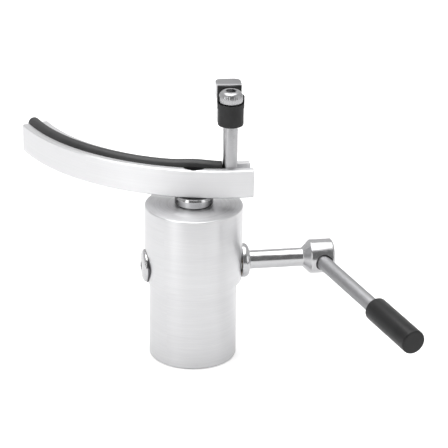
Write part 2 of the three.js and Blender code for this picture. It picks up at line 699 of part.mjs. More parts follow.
const finger = new THREE.Group();
finger.rotation.z = FINGER.turnDeg * DEG;
finger.add(fingerBlock(), fingerSleeve());
fingerStand.add(finger);
rest.add(fingerStand);

clamp.add(base, liftTappet(), cam, rest);

export default clamp;
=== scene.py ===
"""Studio scene of the cam-lift rest clamp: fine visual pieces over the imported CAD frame.

Lengths in the tables below are millimetres in the CAD frame; MM turns them into Blender's metres.
"""

import math

import bmesh
import bpy
from mathutils import Matrix, Vector


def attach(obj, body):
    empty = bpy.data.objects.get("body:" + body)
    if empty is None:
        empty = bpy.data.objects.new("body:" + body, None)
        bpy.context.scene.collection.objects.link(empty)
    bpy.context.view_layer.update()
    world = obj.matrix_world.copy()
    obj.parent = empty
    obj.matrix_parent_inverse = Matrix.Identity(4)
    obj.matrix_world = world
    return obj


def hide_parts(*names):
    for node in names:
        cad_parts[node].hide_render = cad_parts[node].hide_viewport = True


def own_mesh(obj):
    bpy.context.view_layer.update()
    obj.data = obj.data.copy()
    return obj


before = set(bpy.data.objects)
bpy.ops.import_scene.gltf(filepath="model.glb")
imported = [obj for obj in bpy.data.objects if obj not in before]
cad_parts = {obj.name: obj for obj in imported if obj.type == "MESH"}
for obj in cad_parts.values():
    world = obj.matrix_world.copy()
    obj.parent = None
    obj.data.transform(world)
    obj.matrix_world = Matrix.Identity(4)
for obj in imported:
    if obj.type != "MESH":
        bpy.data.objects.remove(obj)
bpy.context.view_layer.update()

MM = 0.001
UP = Vector((0, 0, 1))

# ---------------------------------------------------------------- driving dimensions (mm)

BODY = {
    "shank_r": 17.95, "shoulder_z": 34.0, "r": 20.0, "top_z": 66.2, "chamfer": 0.35, "mouth_r": 6.6,
    "bush_seat_r": 10.05, "bush_seat_top": 64.0, "chamber_r": 12.0, "chamber_top": 57.0,
    "cap_seat_r": 16.2, "cap_seat_z": 4.05, "bore_r": 6.55, "spot_r": 7.4,
    "spot_left": -19.0, "spot_right": 19.3, "shoulder_chamfer": 0.15, "mouth_chamfer": 0.2,
    "edge_round": 0.12, "top_band": 0.2,
}
PILLAR = {
    "stem_r": 6.5, "head_r": 7.85, "head_z": 66.95, "top_z": 70.6, "rim_width": 0.45, "rim_height": 1.0,
    "foot_r": 10.5, "foot_z": 49.3, "foot_h": 2.0, "hole_r": 3.96, "hole_top": 58.0, "thread_r": 2.45,
    "thread_bottom": 60.5, "head_chamfer": 0.15, "edge_round": 0.1,
}
SPRING = {
    "mean_r": 9.6, "wire_r": 0.6, "turns": 2.6, "z0": 51.35, "z1": 56.95, "turn_steps": 40, "wire_sides": 12,
}
SHAFT_Z = 40.0
SHAFT = {
    "journal_r": 5.44, "journal_x": 9.5, "left_x": -18.95, "ecc_r": 4.0, "ecc_offset": 1.4, "ecc_deg": 202.5,
    "collar_x0": 19.45, "collar_x1": 22.9, "collar_r": 7.15, "neck_r": 3.88, "cone_x": 45.3, "head_x0": 48.3,
    "head_r": 7.13, "head_x1": 57.5, "tip_x": 58.2, "tip_r": 6.4, "hole_r": 3.15, "sink_r": 3.5,
    "thread_r": 3.4, "thread_depth": 9.0, "collar_back": 0.3,
    "collar_front": ((0.0, 1.8), (0.35, 0.85), (1.0, 0.25), (1.7, 0.0)),
    "head_edge_r": 0.2, "head_edge_x": 0.4, "edge_round": 0.25, "journal_round": 0.2, "lap": 0.05,
}
END_SCREW = {
    "r": 6.75, "face_r": 2.4, "height": 1.95, "rim": 0.4, "x": -19.65, "shank_r": 3.3, "shank": 8.0,
    "hex": 3.0, "deep": 1.0,
}
LEVER = {
    "cross_x": 51.5, "direction": (0.294, -0.9536, -0.0645), "rod_r": 3.0, "rod_start": -4.0, "rod_tip": 72.0,
    "grip_start": 49.3, "grip_end": 78.8, "grip_r": 5.0, "grip_round": 0.8, "rod_round": 0.4,
    "bore_gap": 0.1, "mouth_depth": 0.1, "end_rim": 1.6, "end_rise": 0.02, "end_sink": 0.08, "floor_gap": 0.3,
    "hole_gap": 0.3, "sink_start": 5.8, "sink_full": 6.4, "sink_end": 12,
}
BAR = {
    "centre": (20.24, 80.32), "r_out": 88.1, "r_in": 76.6, "z0": 70.65, "z1": 82.67,
    "start": -164.7, "end": -87.94, "chamfer": 0.5, "groove_out": 85.25, "groove_in": 80.05, "floor": 79.75,
    "seat_r": 4.95, "seat_z": 75.05, "hole_r": 2.7,
    "end_chamfer": 0.3, "groove_chamfer": 0.08, "end_share": 0.3,
}
CORD = {
    "r": 2.5, "path_r": 82.65, "z": 82.3, "bump": 0.7, "bump_deg": -104.1, "bump_width": 5.2,
    "start": -165.9, "end": -96.42, "tip_share": 0.45, "tip_growth": 0.55, "press": 0.22, "press_share": 0.25,
    "sway": ((0.05, 11), (0.03, 29)), "swell": 0.012, "swell_rate": 17, "bump_thin": 0.02,
    "droop": 0.1, "droop_width": 1.6, "blunt_run": 0.3, "blunt_end": ((0.1, 0.98), (0.0, 0.9)),
}
POST = {
    "deg": -94.19, "path_r": 82.75, "r": 3.0, "foot_r": 2.5, "foot_z": 76.6, "shoulder_z": 101.5,
    "spigot_r": 2.6, "top_z": 108.5, "edge_round": 0.1, "seat_gap": 0.02, "side_gap": 0.05, "foot_gap": 0.1,
}
POST_SCREW_SEAT = {"r": 3.7, "z": 73.9, "hole_r": 1.9}
FINGER = {
    "turn": -3.5, "boss_r": 4.1, "boss_z0": 101.6, "boss_z1": 108.6, "bore_r": 2.66,
    "front_y": 6.55, "rear_y": 14.3,
    "half": 5.15, "sag": 0.6, "corner": 2.4, "z0": 109.2, "z1": 115.1, "stem_half": 4.6, "stem_z": 98.8,
    "step_gap": 0.01, "neck_half": 2.6, "neck_z0": 102.4, "neck_z1": 107.6, "neck_lap": 0.6, "neck_reach": 1,
    "edge_round": 0.22,
}
SLEEVE = {
    "r": 5.2, "cup_r": 4.7, "cup_z": 109.9, "hole_r": 4.25, "z0": 100.65, "z1": 108.5, "lip_r": 3.12,
    "lip_z": 101.5, "facing_front": 5.1, "facing_rear": 6.2, "facing_half": 4.9, "facing_z": 114.9,
    "hood_in": 5.05, "hood_out": 5.4, "hood_z": 112.7, "hood_deg": -8.0, "root": 1, "foot_in": 0.1,
    "foot_rise": 0.5, "tube_round": 0.25, "hood_round": 0.16, "facing_round": 0.14,
    "slot_gap": 0.2, "slot_start": 0.5, "slot_end": 9,
}
WASHER = {"r": 4.55, "hole_r": 1.9, "z0": 108.7, "z1": 109.45, "edge_round": 0.25}
FINGER_SCREW = {
    "r": 4.92, "z0": 109.5, "z1": 114.9, "face_r": 2.9, "edge_h": 3.0, "shank_r": 1.6,
    "tip_z": 103.5, "hex": 4.0,
    "deep": 2.2, "flutes": 36, "flute_depth": 0.09, "flute_start": 1.0, "flute_fade": 0.35,
    "underside": ((4.0, 0.0), (4.2, 0.1), (4.45, 0.5), (4.62, 0.85), (4.75, 1.2), (4.87, 1.8)),
}

# How far a cutter reaches past the surface it cuts.
OVERCUT = 1
# A face whose normal's z is above this counts as a top face.
TOP_FACING = 0.9

FINE = 160
MEDIUM = 96
SMALL = 48

# ---------------------------------------------------------------- camera (angles in degrees)

CAMERA = {
    "azimuth": -9.76, "elevation": 22.97, "roll": -0.89, "distance": 900.0, "aim_z": 40.0, "aim_right": 12.34,
    "aim_up": 16.04, "lens": 176.03, "sensor": 36.0,
}


# ---------------------------------------------------------------- studio levels (linear brightness, watts)

WORLD = {"walls": 0.68, "right_wall": 0.62, "camera_side": 0.19, "overhead": 1.1}
LIGHTS = {"overhead": 10.0, "left_strip": 0.75, "right_strip": 1.4}
FLOOR_GLOW = 0.3
CAMERA_SIDE_FADE = (0.10, 0.55)
RIGHT_SIDE_FADE = (0.0, 0.9)
OVERHEAD_FADE = (0.84, 0.93)

# Metres, and for each strip its degrees to the right of the camera and its width.
LIGHT_AIM = (0, 0, 0.05)
OVERHEAD_PLACE = (-0.1, 0.05, 1.1)
OVERHEAD_SIZE = (1.3, 1.1)
STRIPS = {"left_strip": (-60.0, 0.34), "right_strip": (42.0, 0.3)}
STRIP_DISTANCE = 0.95
STRIP_HEIGHT = 0.35
STRIP_LENGTH = 0.6


# ---------------------------------------------------------------- mesh building

def arc_point(radius, degrees):
    angle = math.radians(degrees)
    return (BAR["centre"][0] + radius * math.cos(angle), BAR["centre"][1] + radius * math.sin(angle))


def rounded(profile, radius, steps=3, closed=False):
    """The profile with each corner replaced by a small arc."""
    count = len(profile)
    result = []
    for i, point in enumerate(profile):
        at = Vector(point)
        is_end = not closed and i in (0, count - 1)
        if is_end:
            result.append(tuple(at))
            continue
        before = Vector(profile[i - 1]) - at
        after = Vector(profile[(i + 1) % count]) - at
        reach = min(radius, before.length * 0.45, after.length * 0.45)
        if reach < 1e-4 or abs(before.angle(after) - math.pi) < 0.08:
            result.append(tuple(at))
            continue
        start = at + before.normalized() * reach
        end = at + after.normalized() * reach
        for k in range(steps + 1):
            t = k / steps
            result.append(tuple(start * (1 - t) ** 2 + at * 2 * t * (1 - t) + end * t ** 2))
    return result


def mark_sharp(mesh, degrees=32):
    """Smooth shading, with the edges steeper than the angle kept sharp."""
    work = bmesh.new()
    work.from_mesh(mesh)
    bmesh.ops.remove_doubles(work, verts=work.verts, dist=1e-6)
    for face in work.faces:
        face.smooth = True
    limit = math.radians(degrees)
    for edge in work.edges:
        edge.smooth = len(edge.link_faces) == 2 and edge.calc_face_angle(0.0) < limit
    work.to_mesh(mesh)
    work.free()


def add_object(name, work, sharp=32):
    """Turns a bmesh in millimetres into an object in metres."""
    bmesh.ops.scale(work, vec=(MM, MM, MM), verts=work.verts)
    bmesh.ops.recalc_face_normals(work, faces=work.faces)
    mesh = bpy.data.meshes.new(name)
    work.to_mesh(mesh)
    work.free()
    mark_sharp(mesh, sharp)
    obj = bpy.data.objects.new(name, mesh)
    bpy.context.scene.collection.objects.link(obj)
    return obj


def add_rings(work, rings, close_loop=False):
    """Skins quads between successive rings of points; a one-point ring becomes a fan."""
    rows = [[work.verts.new(point) for point in ring] for ring in rings]
    pairs = list(zip(rows, rows[1:]))
    if close_loop:
        pairs.append((rows[-1], rows[0]))
    for low, high in pairs:
        count = max(len(low), len(high))
        for i in range(count):
            j = (i + 1) % count
            if len(low) == 1:
                work.faces.new((low[0], high[j], high[i]))
            elif len(high) == 1:
                work.faces.new((low[i], low[j], high[0]))
            else:
                work.faces.new((low[i], low[j], high[j], high[i]))


def add_turned(work, profile, segments, place=Matrix.Identity(4), ripple=None):
    """A solid of revolution from (radius, height) pairs; ripple() may move each point's radius."""
    on_axis = profile[0][0] < 1e-6 and profile[-1][0] < 1e-6
    rings = []
    for radius, height in profile:
        if radius < 1e-6:
            rings.append([place @ Vector((0, 0, height))])
            continue
        ring = []
        for i in range(segments):
            angle = 2 * math.pi * i / segments
            at = ripple(radius, height, angle) if ripple else radius
            ring.append(place @ Vector((at * math.cos(angle), at * math.sin(angle), height)))
        rings.append(ring)
    add_rings(work, rings, close_loop=not on_axis)


def turned(name, profile, segments=FINE, place=Matrix.Identity(4), ripple=None, sharp=32):
    work = bmesh.new()
    add_turned(work, profile, segments, place, ripple)
    return add_object(name, work, sharp)


def add_prism(work, outline, bottom, top, place=Matrix.Identity(4)):
    """An upright prism over an outline of (x, y) points."""
    low = [work.verts.new(place @ Vector((x, y, bottom))) for x, y in outline]
    high = [work.verts.new(place @ Vector((x, y, top))) for x, y in outline]
    for i in range(len(outline)):
        j = (i + 1) % len(outline)
        work.faces.new((low[i], low[j], high[j], high[i]))
    work.faces.new(list(reversed(low)))
    work.faces.new(high)


def cylinder(radius, bottom, top, segments=SMALL, place=Matrix.Identity(4)):
    work = bmesh.new()
    add_turned(work, [(0, bottom), (radius, bottom), (radius, top), (0, top)], segments, place)
    return add_object("cutter", work)


def hexagon(across, bottom, top, place=Matrix.Identity(4)):
    reach = across / math.sqrt(3)
    outline = [(reach * math.cos(i * math.pi / 3), reach * math.sin(i * math.pi / 3)) for i in range(6)]
    work = bmesh.new()
    add_prism(work, outline, bottom, top, place)
    return add_object("cutter", work)


def apply_modifiers(obj, sharp=32):
    """Bakes the object's modifiers into its mesh."""
    bpy.context.view_layer.update()
    baked = obj.evaluated_get(bpy.context.evaluated_depsgraph_get())
    mesh = bpy.data.meshes.new_from_object(baked)
    old = obj.data
    obj.modifiers.clear()
    obj.data = mesh
    bpy.data.meshes.remove(old)
    mark_sharp(mesh, sharp)


def carve(obj, cutters, sharp=32):
    """Cuts every cutter out of the object and removes the cutters."""
    for cutter in cutters:
        step = obj.modifiers.new("cut", "BOOLEAN")
        step.operation = "DIFFERENCE"
        step.solver = "EXACT"
        step.use_self = True
        step.object = cutter
    apply_modifiers(obj, sharp)
    for cutter in cutters:
        bpy.data.objects.remove(cutter, do_unlink=True)


def soften_edges(obj, width, segments=2, degrees=40, sharp=50):
    """Rounds the sharp edges a little, as any machined or moulded edge is."""
    step = obj.modifiers.new("soften", "BEVEL")
    step.width = width * MM
    step.segments = segments
    step.limit_method = "ANGLE"
    step.angle_limit = math.radians(degrees)
    step.harden_normals = False
    apply_modifiers(obj, sharp)


ALONG_X = Matrix.Translation((0, 0, SHAFT_Z)) @ Matrix.Rotation(math.pi / 2, 4, "Y")
POST_AT = Matrix.Translation((*arc_point(POST["path_r"], POST["deg"]), 0))
FINGER_AT = POST_AT @ Matrix.Rotation(math.radians(FINGER["turn"]), 4, "Z")
LEVER_AXIS = Vector(LEVER["direction"]).normalized()
ALONG_LEVER = (Matrix.Translation((LEVER["cross_x"], 0, SHAFT_Z))
               @ UP.rotation_difference(LEVER_AXIS).to_matrix().to_4x4())


# ---------------------------------------------------------------- materials

# Height of the bump layers in metres, and the turn that lays a stretched highlight across the tool lines.
BUMP_HEIGHT = 0.0001
HIGHLIGHT_TURN = 0.25


class Nodes:
    """Small helper that adds and links shader nodes."""

    def __init__(self, name):
        self.material = bpy.data.materials.new(name)
        self.material.use_nodes = True
        self.tree = self.material.node_tree
        self.shader = self.tree.nodes["Principled BSDF"]

    def put(self, target, value):
        if isinstance(value, bpy.types.NodeSocket):
            self.tree.links.new(value, target)
        else:
            target.default_value = value

    def add(self, kind, inputs=(), **settings):
        node = self.tree.nodes.new(kind)
        for key, value in settings.items():
            setattr(node, key, value)
        for key, value in dict(inputs).items():
            self.put(node.inputs[key], value)
        return node

    def math(self, operation, a, b=0.0, c=0.0):
        node = self.add("ShaderNodeMath", {0: a, 1: b, 2: c}, operation=operation)
        return node.outputs[0]

    def vector(self, operation, a, b=(0, 0, 0), out=0):
        node = self.add("ShaderNodeVectorMath", {0: a, 1: b}, operation=operation)
        return node.outputs[out]

    def noise(self, vector, scale, detail=2.0, roughness=0.5):
        node = self.add("ShaderNodeTexNoise",
                        {"Vector": vector, "Scale": scale, "Detail": detail, "Roughness": roughness})
        return node.outputs[0]

    def spread(self, value, low, high, from_low=0.3, from_high=0.7):
        node = self.add("ShaderNodeMapRange", {
            "Value": value, "From Min": from_low, "From Max": from_high, "To Min": low, "To Max": high,
        })
        return node.outputs[0]

    def tint(self, value, dark, light):
        node = self.add("ShaderNodeMix", {"Factor": value}, data_type="RGBA")
        node.inputs["A"].default_value = (*dark, 1)
        node.inputs["B"].default_value = (*light, 1)
        return node.outputs["Result"]

    def bump(self, height, strength, distance):
        node = self.add("ShaderNodeBump", {"Height": height, "Strength": strength, "Distance": distance})
        return node.outputs[0]

    def set(self, **values):
        for key, value in values.items():
            self.put(self.shader.inputs[key.replace("_", " ")], value)


def round_frame(nodes, origin, axis):
    """Position along an axis, distance from it, angle about it, and the direction round it."""
    place = nodes.add("ShaderNodeTexCoord").outputs["Object"]
    offset = nodes.vector("SUBTRACT", place, tuple(c * MM for c in origin))
    along = nodes.vector("DOT_PRODUCT", offset, tuple(axis), out=1)
    spine = nodes.add("ShaderNodeVectorMath", {0: tuple(axis), "Scale": along}, operation="SCALE").outputs[0]
    radial = nodes.vector("SUBTRACT", offset, spine)
    distance = nodes.vector("LENGTH", radial, out=1)
    side = Vector(axis).orthogonal().normalized()
    other = Vector(axis).cross(side)
    x = nodes.vector("DOT_PRODUCT", radial, tuple(side), out=1)
    y = nodes.vector("DOT_PRODUCT", radial, tuple(other), out=1)
    angle = nodes.math("ARCTAN2", y, x)
    round_way = nodes.vector("CROSS_PRODUCT", tuple(axis), radial)
    turned_way = nodes.add("ShaderNodeVectorTransform", {0: round_way}, vector_type="VECTOR",
                           convert_from="OBJECT", convert_to="WORLD").outputs[0]
    return along, distance, angle, turned_way


def grained_metal(name, origin, axis, dark, light, roughness, grain=2600.0, streak=1.2, anisotropy=0.6,
                  bump=0.06, spread=0.06):
    """Metal with fine tool lines running round an axis: turned, ground or brushed along a curve."""
    n = Nodes(name)
    along, distance, angle, way = round_frame(n, origin, Vector(axis).normalized())
    round_at = n.math("MULTIPLY", angle, streak / grain)
    lines_at = n.add("ShaderNodeCombineXYZ", {0: along, 1: distance, 2: round_at})
    fine = n.noise(lines_at.outputs[0], grain, 3.0, 0.6)
    broad = n.noise(lines_at.outputs[0], grain * 0.16, 2.0, 0.5)
    cloud = n.noise(n.add("ShaderNodeTexCoord").outputs["Object"], 70.0, 3.0)
    mixed = n.math("ADD", n.math("MULTIPLY", fine, 0.65), n.math("MULTIPLY", broad, 0.35))
    n.set(
        Base_Color=n.tint(n.spread(mixed, 0.0, 1.0), dark, light),
        Metallic=1.0,
        Roughness=n.math("ADD", n.spread(mixed, roughness - spread, roughness + spread),
                         n.spread(cloud, -0.02, 0.02)),
        Anisotropic=anisotropy,
        Anisotropic_Rotation=HIGHLIGHT_TURN,
        Tangent=way,
        Normal=n.bump(mixed, bump, BUMP_HEIGHT),
    )
    return n.material


def polished_metal(name, origin, axis, colour, roughness=0.1, smudge_scale=260.0, rings_bump=0.03,
                   painted_edge_shade=1.0):
    """Polished steel: near mirror, with faint rings left by the lathe and a few soft smudges, and its colour
    darkened towards grazing view as painted shade.
    """
    n = Nodes(name)
    along, distance, angle, way = round_frame(n, origin, Vector(axis).normalized())
    rings_at = n.add("ShaderNodeCombineXYZ", {0: along, 1: distance, 2: n.math("MULTIPLY", angle, 0.0004)})
    rings = n.noise(rings_at.outputs[0], 1800.0, 2.0)
    smudge = n.noise(n.add("ShaderNodeTexCoord").outputs["Object"], smudge_scale, 4.0)
    # Painted shade: the base colour is scaled down towards the given edge share where the surface turns away
    # from the view.
    facing = n.add("ShaderNodeLayerWeight", {"Blend": 0.5}).outputs["Facing"]
    shade = n.spread(facing, 1.0, painted_edge_shade, 0.12, 0.6)
    smudge_and_shade = n.math("MULTIPLY", n.spread(smudge, 0.93, 1.0), shade)
    n.set(
        Base_Color=n.tint(smudge_and_shade, (0.0, 0.0, 0.0), colour),
        Metallic=1.0,
        Roughness=n.spread(smudge, roughness * 0.75, roughness * 1.35),
        Anisotropic=0.25,
        Anisotropic_Rotation=HIGHLIGHT_TURN,
        Tangent=way,
        Normal=n.bump(rings, rings_bump, BUMP_HEIGHT),
    )
    return n.material


def moulded(name, dark, light, roughness, grain=2400.0, bump=0.12, specular=0.45):
    """Rubber or plastic: slight colour drift, pores and an uneven sheen."""
    n = Nodes(name)
    place = n.add("ShaderNodeTexCoord").outputs["Object"]
    pores = n.noise(place, grain, 3.0, 0.6)
    drift = n.noise(place, 120.0, 3.0)
    wear = n.noise(place, 420.0, 4.0, 0.7)
    sheen = n.math("ADD", n.spread(wear, roughness - 0.06, roughness + 0.06), n.spread(pores, -0.03, 0.03))
    relief = n.math("ADD", n.math("MULTIPLY", pores, 0.7), n.math("MULTIPLY", wear, 0.3))
    n.set(
        Base_Color=n.tint(n.spread(drift, 0.0, 1.0), dark, light),
        Roughness=sheen,
        Specular_IOR_Level=specular,
        Normal=n.bump(relief, bump, BUMP_HEIGHT),
    )
    return n.material


def plain_machined(name, colour, roughness):
    """Metal for the small inner pieces, with a cloudy tool finish."""
    n = Nodes(name)
    place = n.add("ShaderNodeTexCoord").outputs["Object"]
    cloud = n.noise(place, 900.0, 4.0)
    n.set(
        Base_Color=n.tint(n.spread(cloud, 0.0, 1.0), tuple(0.8 * c for c in colour), colour),
        Metallic=1.0,
        Roughness=n.spread(cloud, roughness - 0.07, roughness + 0.07),
        Normal=n.bump(cloud, 0.08, BUMP_HEIGHT),
    )
    return n.material


SHAFT_ORIGIN = (0, 0, SHAFT_Z)
POST_ORIGIN = (*arc_point(POST["path_r"], POST["deg"]), 0)
BAR_ORIGIN = (*BAR["centre"], 0)
LEVER_ORIGIN = (LEVER["cross_x"], 0, SHAFT_Z)
# Far behind the finger, so that the grain on its back piece is nearly straight.
BLOCK_GRAIN_ORIGIN = (POST_ORIGIN[0], POST_ORIGIN[1] + 60, 0)

MATERIALS = {
    "body": grained_metal("turned_aluminium", (0, 0, 0), (0, 0, 1), (0.68, 0.68, 0.69), (0.75, 0.75, 0.76),
                          0.35, bump=0.04, spread=0.04),
    "body_top": grained_metal("faced_body_top", (0, 0, 0), (0, 0, 1), (0.61, 0.61, 0.62), (0.79, 0.79, 0.80),
                              0.5, grain=1500.0, anisotropy=0.4, bump=0.12, spread=0.06),
    # Two copies of one satin steel for the finger's back piece: a light copy on its sides and a much darker
    # copy on its top faces and the boss, as painted light and painted shade.
    "block_lit_copy": grained_metal("satin_block_lit_copy", BLOCK_GRAIN_ORIGIN, (0, 0, 1),
                                (0.74, 0.74, 0.75), (0.80, 0.80, 0.81), 0.42, anisotropy=0.2, bump=0.02),
    "bar": grained_metal("brushed_aluminium", BAR_ORIGIN, (0, 0, 1), (0.77, 0.77, 0.78), (0.83, 0.83, 0.84),
                         0.44, anisotropy=0.35, bump=0.05, spread=0.04),
    "cap": grained_metal("faced_aluminium", (0, 0, 0), (0, 0, 1), (0.60, 0.60, 0.61), (0.70, 0.70, 0.71),
                         0.38),
    "shaft": polished_metal("polished_shaft_steel", SHAFT_ORIGIN, (1, 0, 0), (0.62, 0.62, 0.63), 0.2,
                            smudge_scale=500.0, rings_bump=0.08),
    # The pillar's colour is darkened strongly towards its sides: painted shade.
    "pillar": polished_metal("polished_pillar_steel", (0, 0, 0), (0, 0, 1), (0.66, 0.66, 0.67), 0.2,
                             smudge_scale=60.0, rings_bump=0.01, painted_edge_shade=0.12),
    "screw": polished_metal("polished_screw_steel", POST_ORIGIN, (0, 0, 1), (0.50, 0.50, 0.51), 0.28,
                            smudge_scale=120.0),
    "rod": grained_metal("satin_rod_steel", LEVER_ORIGIN, LEVER_AXIS, (0.38, 0.38, 0.39), (0.43, 0.43, 0.44),
                         0.52, anisotropy=0.2, bump=0.015, spread=0.02),
    "post": grained_metal("satin_post_steel", POST_ORIGIN, (0, 0, 1), (0.44, 0.44, 0.45), (0.50, 0.50, 0.51),
                          0.3, bump=0.02, spread=0.03),
    # Dark copy of the back piece's steel: painted shade for its top faces and the boss.
    "block": grained_metal("satin_block_shaded_copy", BLOCK_GRAIN_ORIGIN, (0, 0, 1),
                           (0.35, 0.35, 0.36), (0.40, 0.40, 0.41), 0.34, anisotropy=0.3, bump=0.03),
    "bronze": plain_machined("bearing_bronze", (0.62, 0.42, 0.22), 0.34),
    "dark": plain_machined("oiled_steel", (0.16, 0.16, 0.17), 0.36),
    "spring": plain_machined("spring_steel", (0.5, 0.5, 0.51), 0.3),
    "rubber": moulded("black_rubber", (0.014, 0.014, 0.0145), (0.026, 0.026, 0.027), 0.42, specular=0.6),
    "boot": moulded("black_boot_rubber", (0.013, 0.013, 0.0135), (0.022, 0.022, 0.023), 0.58),
    "grip": moulded("black_grip_plastic", (0.008, 0.008, 0.0085), (0.014, 0.014, 0.0145), 0.34, grain=2600.0,
                    bump=0.12, specular=0.36),
}


def dress(obj, material, body, slot, *nodes):
    """Gives a piece its material, its body and the CAD nodes it stands for; the finish slot argument is not
    used.
    """
    obj.data.materials.clear()
    obj.data.materials.append(MATERIALS[material])
    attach(obj, body)
    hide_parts(*nodes)
    return obj


# ---------------------------------------------------------------- body

def body_shell():
    b = BODY
    c = b["chamfer"]
    outside = [
        (b["cap_seat_r"], 0), (b["shank_r"] - c, 0), (b["shank_r"], c), (b["shank_r"], b["shoulder_z"]),
        (b["r"] - b["shoulder_chamfer"], b["shoulder_z"]), (b["r"], b["shoulder_z"] + b["shoulder_chamfer"]),
        (b["r"], b["top_z"] - c), (b["r"] - c, b["top_z"]), (b["mouth_r"] + b["mouth_chamfer"], b["top_z"]),
        (b["mouth_r"], b["top_z"] - b["mouth_chamfer"]),
    ]
    inside = [
        (b["mouth_r"], b["bush_seat_top"]), (b["bush_seat_r"], b["bush_seat_top"]),
        (b["bush_seat_r"], b["chamber_top"]), (b["chamber_r"], b["chamber_top"]),
        (b["chamber_r"], b["cap_seat_z"]), (b["cap_seat_r"], b["cap_seat_z"]),
    ]
    shell = turned("clamp_body", rounded(outside + inside, b["edge_round"], closed=True), FINE)
    reach = b["r"] + 2 * OVERCUT
    cross_bore = [
        (0, -reach), (b["spot_r"], -reach), (b["spot_r"], b["spot_left"]), (b["bore_r"], b["spot_left"]),
        (b["bore_r"], b["spot_right"]), (b["spot_r"], b["spot_right"]), (b["spot_r"], reach), (0, reach),
    ]
    half_step = Matrix.Rotation(math.pi / MEDIUM, 4, "Z")
    carve(shell, [turned("cutter", cross_bore, MEDIUM, ALONG_X @ half_step)])
    dress(shell, "body", "base", "turned_aluminium", "body_housing")
    shell.data.materials.append(MATERIALS["body_top"])
    for face in shell.data.polygons:
        if face.normal.z > TOP_FACING and face.center.z > (b["top_z"] - b["top_band"]) * MM:
            face.material_index = 1
    return shell


# ---------------------------------------------------------------- pillar

def pillar():
    p = PILLAR
    foot_top = p["foot_z"] + p["foot_h"]
    profile = [
        (0, p["hole_top"]), (p["hole_r"], p["hole_top"]), (p["hole_r"], p["foot_z"]),
        (p["foot_r"], p["foot_z"]), (p["foot_r"], foot_top),
        (p["stem_r"], foot_top), (p["stem_r"], p["head_z"]),
        (p["head_r"] - p["head_chamfer"], p["head_z"]), (p["head_r"], p["head_z"] + p["head_chamfer"]),
        (p["head_r"], p["top_z"] - p["rim_height"]), (p["head_r"] - p["rim_width"], p["top_z"]),
        (p["thread_r"], p["top_z"]), (p["thread_r"], p["thread_bottom"]),
        (0, p["thread_bottom"]),
    ]
    column = turned("rest_pillar", rounded(profile, p["edge_round"]), FINE)
    return dress(column, "pillar", "rest", "polished_steel", "pillar")


# ---------------------------------------------------------------- return spring

def return_spring():
    """A coil between the bush and the pillar's foot."""
    s = SPRING
    low = s["z0"] + s["wire_r"]
    rise = s["z1"] - s["z0"] - 2 * s["wire_r"]
    steps = round(s["turns"] * s["turn_steps"])
    round_wire = [2 * math.pi * k / s["wire_sides"] for k in range(s["wire_sides"])]
    centres = []
    rings = []
    for i in range(steps + 1):
        angle = 2 * math.pi * s["turns"] * i / steps
        outward = Vector((math.cos(angle), math.sin(angle), 0))
        along = UP.cross(outward) * s["mean_r"] + UP * rise / (2 * math.pi * s["turns"])
        across = outward.cross(along.normalized())
        centre = outward * s["mean_r"] + UP * (low + rise * i / steps)
        centres.append(centre)
        ring = [centre + (outward * math.cos(t) + across * math.sin(t)) * s["wire_r"] for t in round_wire]
        rings.append(ring)
    work = bmesh.new()
    add_rings(work, [[centres[0]]] + rings + [[centres[-1]]])
    spring = dress(add_object("lift_spring", work, 50), "spring", "base", "satin_steel", "return_spring")
    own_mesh(spring)
    return spring


# ---------------------------------------------------------------- cross shaft, end screw and lever

def cross_shaft():
    s = SHAFT
    work = bmesh.new()
    collar_front = [(s["collar_r"] - inward, s["collar_x1"] - back) for inward, back in s["collar_front"]]
    outside = [
        (0, s["journal_x"]), (s["journal_r"], s["journal_x"]), (s["journal_r"], s["collar_x0"]),
        (s["collar_r"] - s["collar_back"], s["collar_x0"]),
        (s["collar_r"], s["collar_x0"] + s["collar_back"]),
        *collar_front,
        (s["neck_r"], s["collar_x1"]), (s["neck_r"], s["cone_x"]),
        (s["head_r"] - s["head_edge_r"], s["head_x0"]), (s["head_r"], s["head_x0"] + s["head_edge_x"]),
        (s["head_r"], s["head_x1"]), (s["tip_r"], s["tip_x"]), (0, s["tip_x"]),
    ]
    add_turned(work, rounded(outside, s["edge_round"], 4), FINE, ALONG_X)
    journal = [
        (0, s["left_x"]), (s["journal_r"], s["left_x"]),
        (s["journal_r"], -s["journal_x"]), (0, -s["journal_x"]),
    ]
    add_turned(work, rounded(journal, s["journal_round"]), MEDIUM, ALONG_X)
    phase = math.radians(s["ecc_deg"])
    offset = Matrix.Translation((0, s["ecc_offset"] * math.cos(phase), s["ecc_offset"] * math.sin(phase)))
    lap = s["journal_x"] + s["lap"]
    add_turned(work, [(0, -lap), (s["ecc_r"], -lap), (s["ecc_r"], lap), (0, lap)], MEDIUM, offset @ ALONG_X)
    shaft = add_object("cross_shaft", work)
    hole_end = LEVER["rod_start"] - LEVER["hole_gap"]
    lever_hole = [
        (0, hole_end), (s["hole_r"], hole_end), (s["hole_r"], LEVER["sink_start"]),
        (s["sink_r"], LEVER["sink_full"]), (s["sink_r"], LEVER["sink_end"]), (0, LEVER["sink_end"]),
    ]
    tap = cylinder(s["thread_r"], s["left_x"] - OVERCUT, s["left_x"] + s["thread_depth"], SMALL, ALONG_X)
    carve(shaft, [turned("cutter", lever_hole, SMALL, ALONG_LEVER), tap])
    return dress(shaft, "shaft", "cam", "polished_steel", "cam_shaft")


